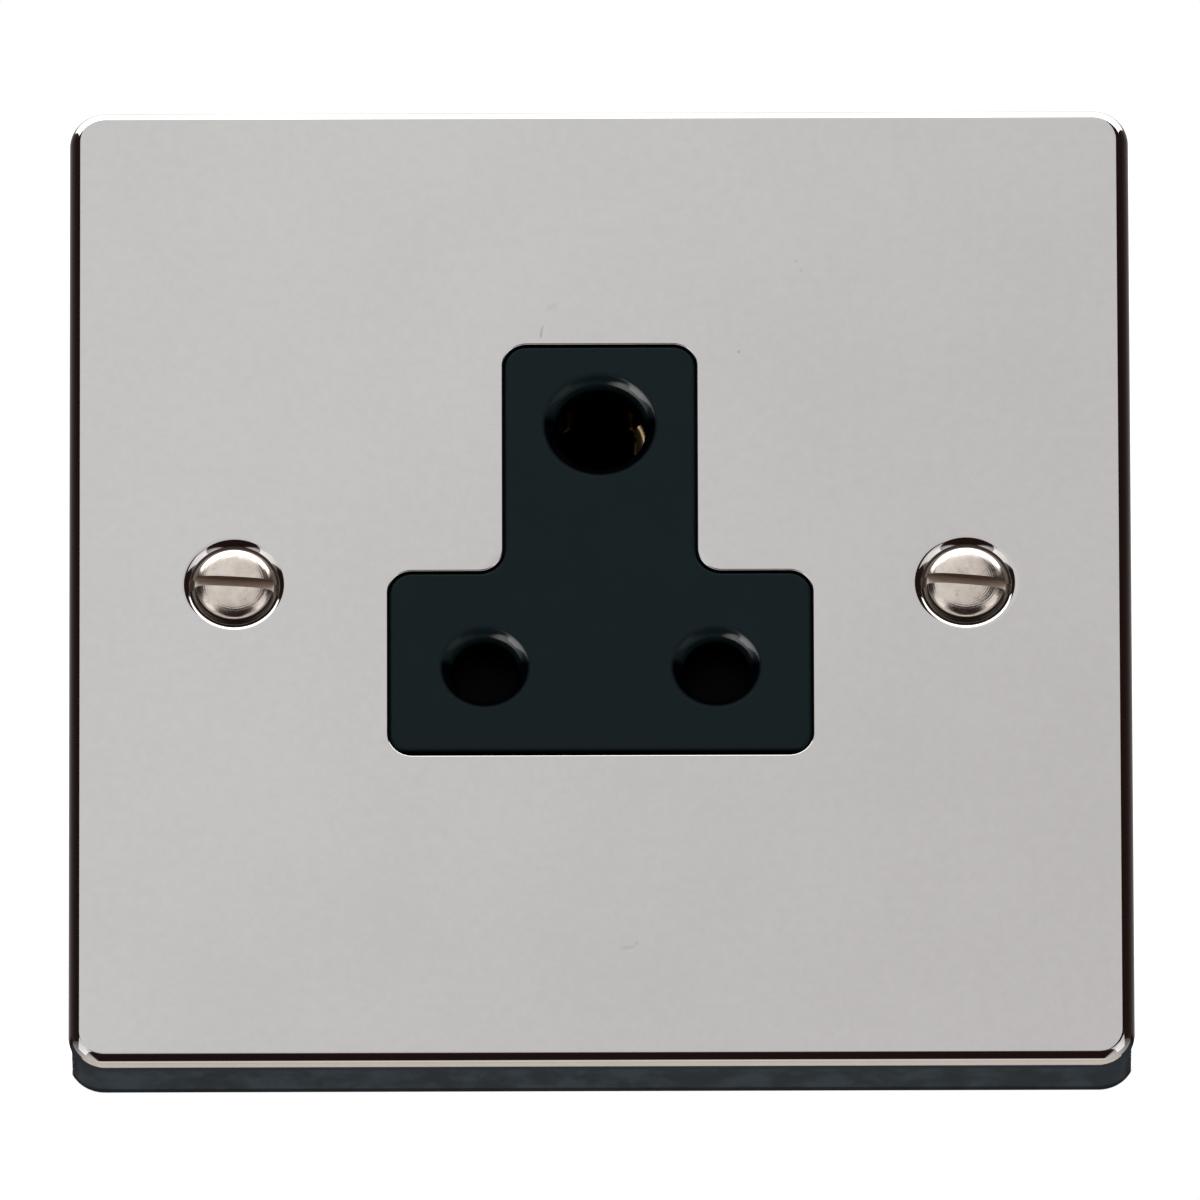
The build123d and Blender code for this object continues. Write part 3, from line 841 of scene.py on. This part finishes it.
def makePlate():
    form = plateForm
    half, face, wall, sheet = form["half"], form["face"], form["wall"], form["sheet"]
    steps, seat = form["steps"], face + sheet
    corners = [Vector(point) for point in ((-half, -half), (half, -half), (half, half), (-half, half))]
    bm = bmesh.new()
    rim = [(-along, face + across) for along, across in quarter(form["edge"], steps["edge"])]
    rim += [(0, wall - form["rimEdge"]), (-form["rimEdge"], wall)]
    backFrom = len(rim)
    rim += [(form["rimEdge"] - sheet, wall), (-sheet, wall - form["rimEdge"])]
    inner = form["innerEdge"]
    bend = quarter(inner, steps["small"])
    rim += [(along - sheet - inner, seat + inner - across) for along, across in bend]
    outer = sweep(bm, cornered(corners, form["corner"], steps["corner"]), rim, backFrom)
    opening = [(along, face + across) for along, across in quarter(form["openingEdge"], steps["small"])]
    outline = cornered(teeCorners(form["tee"]), form["tee"]["corner"], steps["tee"])
    tee = sweep(bm, outline, opening + [(0, seat)])
    profile, backFrom = dimpleProfile(form)
    dimples = [sweep(bm, circle(x, z, steps["dimple"]), profile, backFrom) for x, z in screwCentres]
    fillFlat(bm, [rows[0] for rows in (outer, tee, *dimples)])
    fillFlat(bm, [rows[-1] for rows in (outer, tee, *dimples)], 1)
    mesh = toMesh(bm, "frontPlate")
    addPiece("frontPlate", mesh, [plateChrome, plateBack], "front_plate")


makePlate()


# Turned parts: rings along Y, with a rolled thread over one stretch

threadRows = 8    # rows of points in one turn of a thread
threadFlank = 2.6    # how steep its sides are


def threaded(profile, thread):
    # the profile's (radius, y) points, with rows added along the thread
    rows = []
    for radius, y in profile:
        rows.append((radius, y))
        if abs(y - thread["start"]) < 1e-6 and radius:
            count = ceil((thread["end"] - thread["start"]) / thread["pitch"] * threadRows)
            step = (thread["end"] - thread["start"]) / count
            rows += [(radius, thread["start"] + step * index) for index in range(1, count)]
    return rows


def threadCut(thread, y, share):
    # how deep the groove is at one point; it runs out at both ends
    if not thread["start"] < y < thread["end"]:
        return 0.0
    phase = ((y - thread["start"]) / thread["pitch"] + share) % 1
    fade = min(1.0, (y - thread["start"]) / thread["pitch"], (thread["end"] - y) / thread["pitch"])
    return thread["depth"] * fade * min(1.0, threadFlank * abs(phase - 0.5))


def turnedMesh(name, x, z, profile, steps, thread):
    # profile points are (radius, y) from pole to pole
    bm = bmesh.new()
    rings = []
    for radius, y in threaded(profile, thread):
        if radius == 0:
            rings.append([bm.verts.new((x, y, z))] * steps)
            continue
        ring = []
        for step in range(steps):
            turn = 2 * pi * step / steps
            reach = radius - threadCut(thread, y, step / steps)
            ring.append(bm.verts.new((x + reach * cos(turn), y, z + reach * sin(turn))))
        rings.append(ring)
    for near, far in zip(rings, rings[1:]):
        for step in range(steps):
            around = (near[step - 1], near[step], far[step], far[step - 1])
            bm.faces.new(list(dict.fromkeys(around)))    # a pole gives a triangle
    return toMesh(bm, name)


def slotCutter(x, z, y, form):
    # a box as long as the slot, sunk from y on both sides
    bm = bmesh.new()
    bmesh.ops.create_cube(bm, size=1.0)
    c, s = cos(radians(form["turn"])), sin(radians(form["turn"]))
    for vert in bm.verts:
        along, across = vert.co.x * form["length"], vert.co.z * form["width"]
        sunk = y + vert.co.y * 2 * form["depth"]
        vert.co = Vector((x + along * c - across * s, sunk, z + along * s + across * c))
    return toMesh(bm, "slotCutter")


# Fixing screws: raised countersunk heads, a plain neck, then a 3.5 mm thread

fixingLow, fixingHigh = boxOf("fixing_screws")
fixingForm = {
    "apex": fixingLow.y,
    "tip": fixingHigh.y,
    "head": 3.25,
    "rise": 0.85,
    "crown": 3.0,    # 2 is an ellipse, more is flatter in the middle
    "land": 0.35,
    "neck": 1.55,
    "reach": 1.75,
    "bevel": 0.5,
    "thread": {"start": -1.61, "end": fixingHigh.y - 0.5, "pitch": 0.6, "depth": 0.3},
    "slot": {"width": 0.9, "depth": 1.1, "length": 8.0},
    "slotTurns": [-3.5, -5.0],
    "crownSteps": 28,
    "sides": 96,
    "sharp": 28,
}


def fixingProfile(form):
    # a crown that rolls over into the land, then the cone, neck and shank
    head, rise, bend, steps = form["head"], form["rise"], 2 / form["crown"], form["crownSteps"]
    profile = [(0, form["apex"])]
    for step in range(1, steps):
        angle = pi / 2 * step / steps
        profile.append((head * sin(angle) ** bend, form["apex"] + rise * (1 - cos(angle) ** bend)))
    rim = form["apex"] + rise + form["land"]
    start, shank, tip = form["thread"]["start"], form["reach"], form["tip"]
    return profile + [
        (head, rim - form["land"]),
        (head, rim),
        (form["neck"], rim + head - form["neck"]),
        (form["neck"], start - shank + form["neck"]),
        (shank, start),
        (shank, tip - form["bevel"]),
        (shank - form["bevel"], tip),
        (0, tip),
    ]


def makeFixingScrews():
    form = fixingForm
    meshes = []
    for (x, z), turn in zip(screwCentres, form["slotTurns"]):
        whole = turnedMesh("screw", x, z, fixingProfile(form), form["sides"], form["thread"])
        meshes.append(cutAway(whole, slotCutter(x, z, form["apex"], {**form["slot"], "turn": turn})))
    mesh = joinMeshes("fixingScrews", meshes)
    finishes = [screwNickel, slotNickel]
    addPiece("fixingScrews", mesh, finishes, "fixing_screws", form["sharp"])


makeFixingScrews()


# Plate studs: threaded pegs behind the plate, one above and one below, each with a nut

studLow, studHigh = boxOf("plate_studs")
nutLow, nutHigh = boxOf("stud_nuts")
studForm = {
    "reach": 1.5,
    "bevel": 0.35,
    "pitch": 0.5,
    "depth": 0.26,
    "plain": 0.4,
    "pastNut": 1.0,
    "sides": 48,
    "sharp": 28,
}
nutForm = {
    "flat": 2.75,
    "tall": 2.4,
    "bore": 1.52,
    "lead": 0.3,
    "crown": 2.6,
    "bevel": 30.0,
    "steps": 96,
    "sharp": 24,
}
studSeats = [
    (studHigh.z - studForm["reach"], nutHigh.y - nutForm["tall"]),
    (studLow.z + studForm["reach"], nutLow.y),
]


def makeStuds():
    form = studForm
    meshes = []
    for z, seat in studSeats:
        end = seat + nutForm["tall"] + form["pastNut"]
        start, shank = studLow.y, form["reach"]
        low, high = start + form["plain"], end - form["bevel"]
        thread = {"start": low, "end": high, "pitch": form["pitch"], "depth": form["depth"]}
        profile = [(0, start), (shank, start), (shank, low), (shank, high)]
        profile += [(shank - form["bevel"], end), (0, end)]
        meshes.append(turnedMesh("stud", 0, z, profile, form["sides"], thread))
    mesh = joinMeshes("plateStuds", meshes)
    addPiece("plateStuds", mesh, [studCopper], "plate_studs", form["sharp"])


def nutMesh(z, low):
    form = nutForm
    high, bore, lead, crown = low + form["tall"], form["bore"], form["lead"], form["crown"]
    bm = bmesh.new()
    rows = []
    for step in range(form["steps"]):
        turn = 2 * pi * step / form["steps"]
        reach = form["flat"] / cos(turn % (pi / 3) - pi / 6)
        drop = (reach - crown) * tan(radians(form["bevel"]))
        section = [(bore + lead, low), (crown, low), (reach, low + drop), (reach, high - drop)]
        section += [(crown, high), (bore + lead, high), (bore, high - lead), (bore, low + lead)]
        rows.append([bm.verts.new((r * cos(turn), y, z + r * sin(turn))) for r, y in section])
    for step in range(form["steps"]):
        near, far = rows[step - 1], rows[step]
        for index in range(len(near)):
            bm.faces.new((near[index - 1], near[index], far[index], far[index - 1]))
    return toMesh(bm, "nut")


def makeNuts():
    meshes = [nutMesh(z, seat) for z, seat in studSeats]
    mesh = joinMeshes("studNuts", meshes)
    addPiece("studNuts", mesh, [zincBlue], "stud_nuts", nutForm["sharp"])


makeStuds()
makeNuts()


# Terminal screws: slotted cheese heads at the back of the base

terminalLow, terminalHigh = boxOf("terminal_screws")
terminalForm = {
    "head": 2.7,
    "headTall": 1.6,
    "headEdge": 0.25,
    "reach": 1.75,
    "bevel": 0.4,
    "pitch": 0.6,
    "depth": 0.3,
    "slot": {"width": 0.8, "depth": 0.8, "length": 6.0},
    "slotTurns": [12.0, -24.0, 3.0],
    "edgeSteps": 5,
    "sides": 64,
    "sharp": 28,
}


def makeTerminalScrews():
    form = terminalForm
    head, shank, bevel = form["head"], form["reach"], form["bevel"]
    tip, top = terminalLow.y, terminalHigh.y
    under = top - form["headTall"]
    places = [
        (terminalHigh.x - head, terminalLow.z + head),
        (terminalLow.x + head, terminalLow.z + head),
        (0, terminalHigh.z - head),
    ]
    thread = {"start": tip + bevel, "end": under, "pitch": form["pitch"], "depth": form["depth"]}
    profile = [(0, tip), (shank - bevel, tip), (shank, tip + bevel), (shank, under), (head, under)]
    edge = quarter(form["headEdge"], form["edgeSteps"])
    profile += [(head - along, top - across) for across, along in edge]
    meshes = []
    for (x, z), turn in zip(places, form["slotTurns"]):
        whole = turnedMesh("screw", x, z, profile + [(0, top)], form["sides"], thread)
        meshes.append(cutAway(whole, slotCutter(x, z, top, {**form["slot"], "turn": turn})))
    mesh = joinMeshes("terminalScrews", meshes)
    addPiece("terminalScrews", mesh, [zincBlue, zincBlue], "terminal_screws", form["sharp"])


makeTerminalScrews()


# Shutter spring: closed end coils, open ones between

springLow, springHigh = boxOf("shutter_spring")
springForm = {"wire": 0.2, "turns": 7.0, "closed": 1.0, "closedPitch": 2.1, "sides": 12, "perTurn": 28}


def springHeight(share, flat, rise):
    # height along the spring, from 0 to 1, at a share of its wire
    if share < flat:
        return rise * share / flat
    if share > 1 - flat:
        return 1 - rise * (1 - share) / flat
    return rise + (1 - 2 * rise) * (share - flat) / (1 - 2 * flat)


def makeSpring():
    form = springForm
    wire, sides = form["wire"], form["sides"]
    middle = (springLow + springHigh) / 2
    coil = (springHigh.x - springLow.x) / 2 - wire
    low, high = springLow.z + wire, springHigh.z - wire
    count = int(form["turns"] * form["perTurn"])
    flat = form["closed"] / form["turns"]
    rise = form["closedPitch"] * wire * form["closed"] / (high - low)
    upward = Vector((0, 0, 1))
    angles = [2 * pi * side / sides for side in range(sides)]
    bm = bmesh.new()
    rows = []
    for index in range(count + 1):
        share = index / count
        turn = 2 * pi * form["turns"] * share
        out = Vector((cos(turn), sin(turn), 0))
        height = low + (high - low) * springHeight(share, flat, rise)
        centre = Vector((middle.x, middle.y, height)) + out * coil
        around = [wire * (cos(angle) * out + sin(angle) * upward) for angle in angles]
        rows.append([bm.verts.new(centre + point) for point in around])
    for near, far in zip(rows, rows[1:]):
        for side in range(sides):
            bm.faces.new((near[side - 1], near[side], far[side], far[side - 1]))
    bm.faces.new(rows[0])
    bm.faces.new(rows[-1])
    mesh = toMesh(bm, "shutterSpring")
    spring = addPiece("shutterSpring", mesh, [springSteel], "shutter_spring")
    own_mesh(spring)


makeSpring()


# Pieces that keep their CAD form and take a finish

cadFinishes = {
    "socket_front": insertBlack,
    "shutter": shutterBlack,
    "live_contact": contactBrass,
    "neutral_contact": contactBrass,
    "earth_contact": earthBrass,
    "live_terminal": terminalBrass,
    "neutral_terminal": terminalBrass,
    "earth_terminal": terminalBrass,
    "rear_base": baseBlack,
    "base_screws": zincBlue,
    "earth_strap": earthBrass,
    "strap_rivet": strapBrass,
}
for node, finish in cadFinishes.items():
    nodes[node].data.materials.clear()
    nodes[node].data.materials.append(finish)
print("CAD pieces dressed:", len(cadFinishes))


# Studio: a pale floor below, soft boxes above, behind and low at both sides of the front, and a card that
# the plate's face mirrors. Angles are degrees to the side of the front and above level.

studio = {
    "floor": {"drop": 0.30, "front": -0.095, "back": 0.12, "half": 0.45, "corner": 0.05, "steps": 8},
    "topBox": {"place": (0, -0.12, 0.5), "size": (0.95, 0.60), "watts": 8.4},    # for each square metre
    "backBox": {"place": (0, 0.9, 0.35), "size": (0.8, 0.5), "watts": 4.8},
    "lowBox": {"side": 40, "rise": -7, "away": 1.0, "size": (0.90, 0.42), "lean": 40},
    "lowWatts": {"left": 3.04, "right": 2.96},
    "card": {"away": 0.55, "rise": 27, "left": -26, "right": 14, "reach": 23},
}
floorLook = {
    "pale": (0.95, 0.88, 0.81),
    "warm": (0.93, 0.72, 0.55),
    "warmTo": (-100, 40),    # y where it goes from warm to pale
    "cloud": (9, 3),
    "waver": 20,
    "roughness": 0.8,
}
cardLook = {
    "dim": (0.865, 0.855, 0.865),
    "bright": (0.955, 0.975, 0.965),
    "middle": 240,    # z of its middle
    "slant": 0.7,
    "toneRange": (-60, 60),
    "cloud": (30, 2),
    "waver": 24,
}
worldLook = {
    "white": (1.0, 1.0, 1.0),
    "around": (0.3, 0.3, 0.3),    # what diffuse light sees
    "brown": (0.020, 0.010, 0.008),    # dark flags: a band above level, and one below it in front
    "flagRise": (4, 48, 5),    # lowest, highest, softness
    "flagFall": 5,    # a higher power keeps them dark further round
    "lowRise": (-58, 6, 3),
    "lowSide": (22, 34),
    "hazePale": (0.80, 0.79, 0.78),    # a grey haze low at the sides
    "hazeDark": (0.22, 0.21, 0.20),
    "hazeSide": (28, 90, 10),
    "hazeRise": (-45, 6),
    "slate": (0.041, 0.050, 0.0575),    # a dim wall low behind
    "backSide": (80, 100),
    "backRise": (-62, 18, 4),
}


def aim(thing, target, lean):
    # faces a target, leaning by some degrees about its own line of sight
    facing = (Vector(target) - thing.location).to_track_quat("-Z", "Y")
    thing.rotation_mode = "QUATERNION"
    thing.rotation_quaternion = facing @ Quaternion((0, 0, 1), radians(lean))


def toward(side, rise, away):
    # a place at a distance, by degrees to the right of the front and above level
    side, rise = radians(side), radians(rise)
    return Vector((away * sin(side) * cos(rise), -away * cos(side) * cos(rise), away * sin(rise)))


def softBox(name, place, target, size, watts, lean=0):
    light = bpy.data.lights.new(name, "AREA")
    light.shape = "RECTANGLE"
    light.size, light.size_y = size
    light.energy = watts * size[0] * size[1]
    lamp = bpy.data.objects.new(name, light)
    lamp.location = place
    scene.collection.objects.link(lamp)
    aim(lamp, target, lean)
    lamp.visible_camera = False


def makeLights():
    top = studio["topBox"]
    softBox("topBox", top["place"], (0, top["place"][1], 0), top["size"], top["watts"])
    back = studio["backBox"]
    softBox("backBox", back["place"], (0, 0, 0), back["size"], back["watts"])
    low = studio["lowBox"]
    for name, side in (("left", -1), ("right", 1)):
        place = toward(side * low["side"], low["rise"], low["away"])
        softBox(name + "Box", place, (0, 0, 0), low["size"], studio["lowWatts"][name], -side * low["lean"])


def addSheet(name, points, finish):
    mesh = bpy.data.meshes.new(name)
    mesh.from_pydata(points, [], [list(range(len(points)))])
    mesh.materials.append(finish)
    sheet = bpy.data.objects.new(name, mesh)
    scene.collection.objects.link(sheet)
    sheet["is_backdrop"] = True
    return sheet


def makeFloor():
    form, look = studio["floor"], floorLook
    half, front, back = form["half"], form["front"], form["back"]
    corners = [Vector(point) for point in ((-half, front), (half, front), (half, back), (-half, back))]
    points = [(p.x, p.y, -form["drop"]) for p, out in cornered(corners, form["corner"], form["steps"])]
    finish = Finish("floorPaper")
    here = finish.place()
    x, y, z = finish.lengths(here)
    warm = finish.fade(y + finish.noise(here, *look["cloud"]) * look["waver"], *look["warmTo"])
    colour = finish.mix(warm, look["pale"], look["warm"])
    addSheet("floor", points, finish.paint({"Base Color": colour, "Roughness": look["roughness"]}))


def makeCard():
    # a pale board, a little darker to the right and below, that only mirrors see
    form, look = studio["card"], cardLook
    rise, away = radians(form["rise"]), form["away"]
    centre = toward(0, form["rise"], away)
    up = Vector((0, sin(rise), cos(rise))) * away * tan(radians(form["reach"]))
    left, right = [Vector((away * tan(radians(form[name])), 0, 0)) for name in ("left", "right")]
    points = [centre + left - up, centre + right - up, centre + right + up, centre + left + up]
    finish = Finish("cardPaper")
    here = finish.place()
    x, y, z = finish.lengths(here)
    across = (z - look["middle"]) * look["slant"] - x
    tone = finish.ease(across + finish.noise(here, *look["cloud"]) * look["waver"], *look["toneRange"])
    glow = finish.mix(tone, look["dim"], look["bright"])
    paint = {"Base Color": (0, 0, 0), "Emission Color": glow, "Emission Strength": 1.0}
    card = addSheet("card", points, finish.paint(paint))
    card.visible_camera = False
    card.visible_diffuse = False
    card.visible_transmission = False
    card.visible_shadow = False


def makeWorld():
    # white to the camera; mirrors also see the flags, the haze and the dim wall
    look = worldLook
    world = bpy.data.worlds.new("studio")
    scene.world = world
    world.use_nodes = True
    sky = Shading(world.node_tree)
    split = sky.add("SeparateXYZ", None, {"Vector": sky.add("TexCoord", out="Generated")})
    x, y, z = split, split.other("Y"), split.other("Z")
    degree = pi / 180
    side = sky.add("Math", {"operation": "ARCTAN2"}, {0: abs(x), 1: -y}) / degree
    rise = sky.add("Math", {"operation": "ARCSINE"}, {0: z}) / degree
    flags = sky.between(rise, *look["flagRise"]) * (1 - (side / 180) ** look["flagFall"])
    low = sky.between(rise, *look["lowRise"])
    lowFront = sky.fade(side, *look["lowSide"]) * low
    haze = sky.between(side, *look["hazeSide"]) * low
    hazeTone = sky.mix(sky.ease(rise, *look["hazeRise"]), look["hazePale"], look["hazeDark"])
    lowBack = sky.ease(side, *look["backSide"]) * sky.between(rise, *look["backRise"])
    mirror = sky.mix(lowBack, look["white"], look["slate"])
    mirror = sky.mix(haze, mirror, hazeTone)
    mirror = sky.mix(sky.larger(flags, lowFront), mirror, look["brown"])
    path = sky.add("LightPath", out="Is Camera Ray")
    shiny = sky.larger(path.other("Is Glossy Ray"), path.other("Is Transmission Ray"))
    colour = sky.mix(path, sky.mix(shiny, look["around"], mirror), look["white"])
    plug(world.node_tree, world.node_tree.nodes["Background"].inputs["Color"], colour)


makeLights()
makeFloor()
makeCard()
makeWorld()
print("studio set")


# Camera: looks up at the plate from below, from so far away that there is hardly any perspective

cameraForm = {
    "lens": 1650,
    "sensor": 36,
    "clip": (0.1, 50),    # metres
    "below": 26.1,
    "roll": -0.17,
    "frameWide": 98.88,    # millimetres that the image is wide at the plate's face
    "image": 1200,
    "faceCentre": (600.3, 583.4),    # where the middle of the plate's face lands in the image
}


def makeCamera():
    form = cameraForm
    data = bpy.data.cameras.new("camera")
    data.lens = form["lens"]
    data.sensor_width = form["sensor"]
    data.clip_start, data.clip_end = form["clip"]
    tilt, roll = radians(form["below"]), radians(form["roll"])
    away = Vector((0, -cos(tilt), -sin(tilt)))
    level = Vector((0, -sin(tilt), cos(tilt)))
    across = Vector((cos(roll), 0, 0)) + level * sin(roll)
    up = level * cos(roll) - Vector((sin(roll), 0, 0))
    perPixel = form["frameWide"] / form["image"]
    right = (form["image"] / 2 - form["faceCentre"][0]) * perPixel
    above = (form["faceCentre"][1] - form["image"] / 2) * perPixel
    target = Vector((0, plateForm["face"], 0)) + across * right + up * above
    distance = form["frameWide"] * form["lens"] / form["sensor"]
    camera = bpy.data.objects.new("camera", data)
    scene.collection.objects.link(camera)
    camera.rotation_mode = "QUATERNION"
    camera.rotation_quaternion = Matrix((across, up, away)).transposed().to_quaternion()
    camera.location = (target + away * distance) * mm
    scene.camera = camera


makeCamera()
scene.view_settings.view_transform = "Standard"
print("camera set")

sizes = {name: [list(corner) for corner in box] for name, box in (("cad", cadBox), ("visual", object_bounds()))}
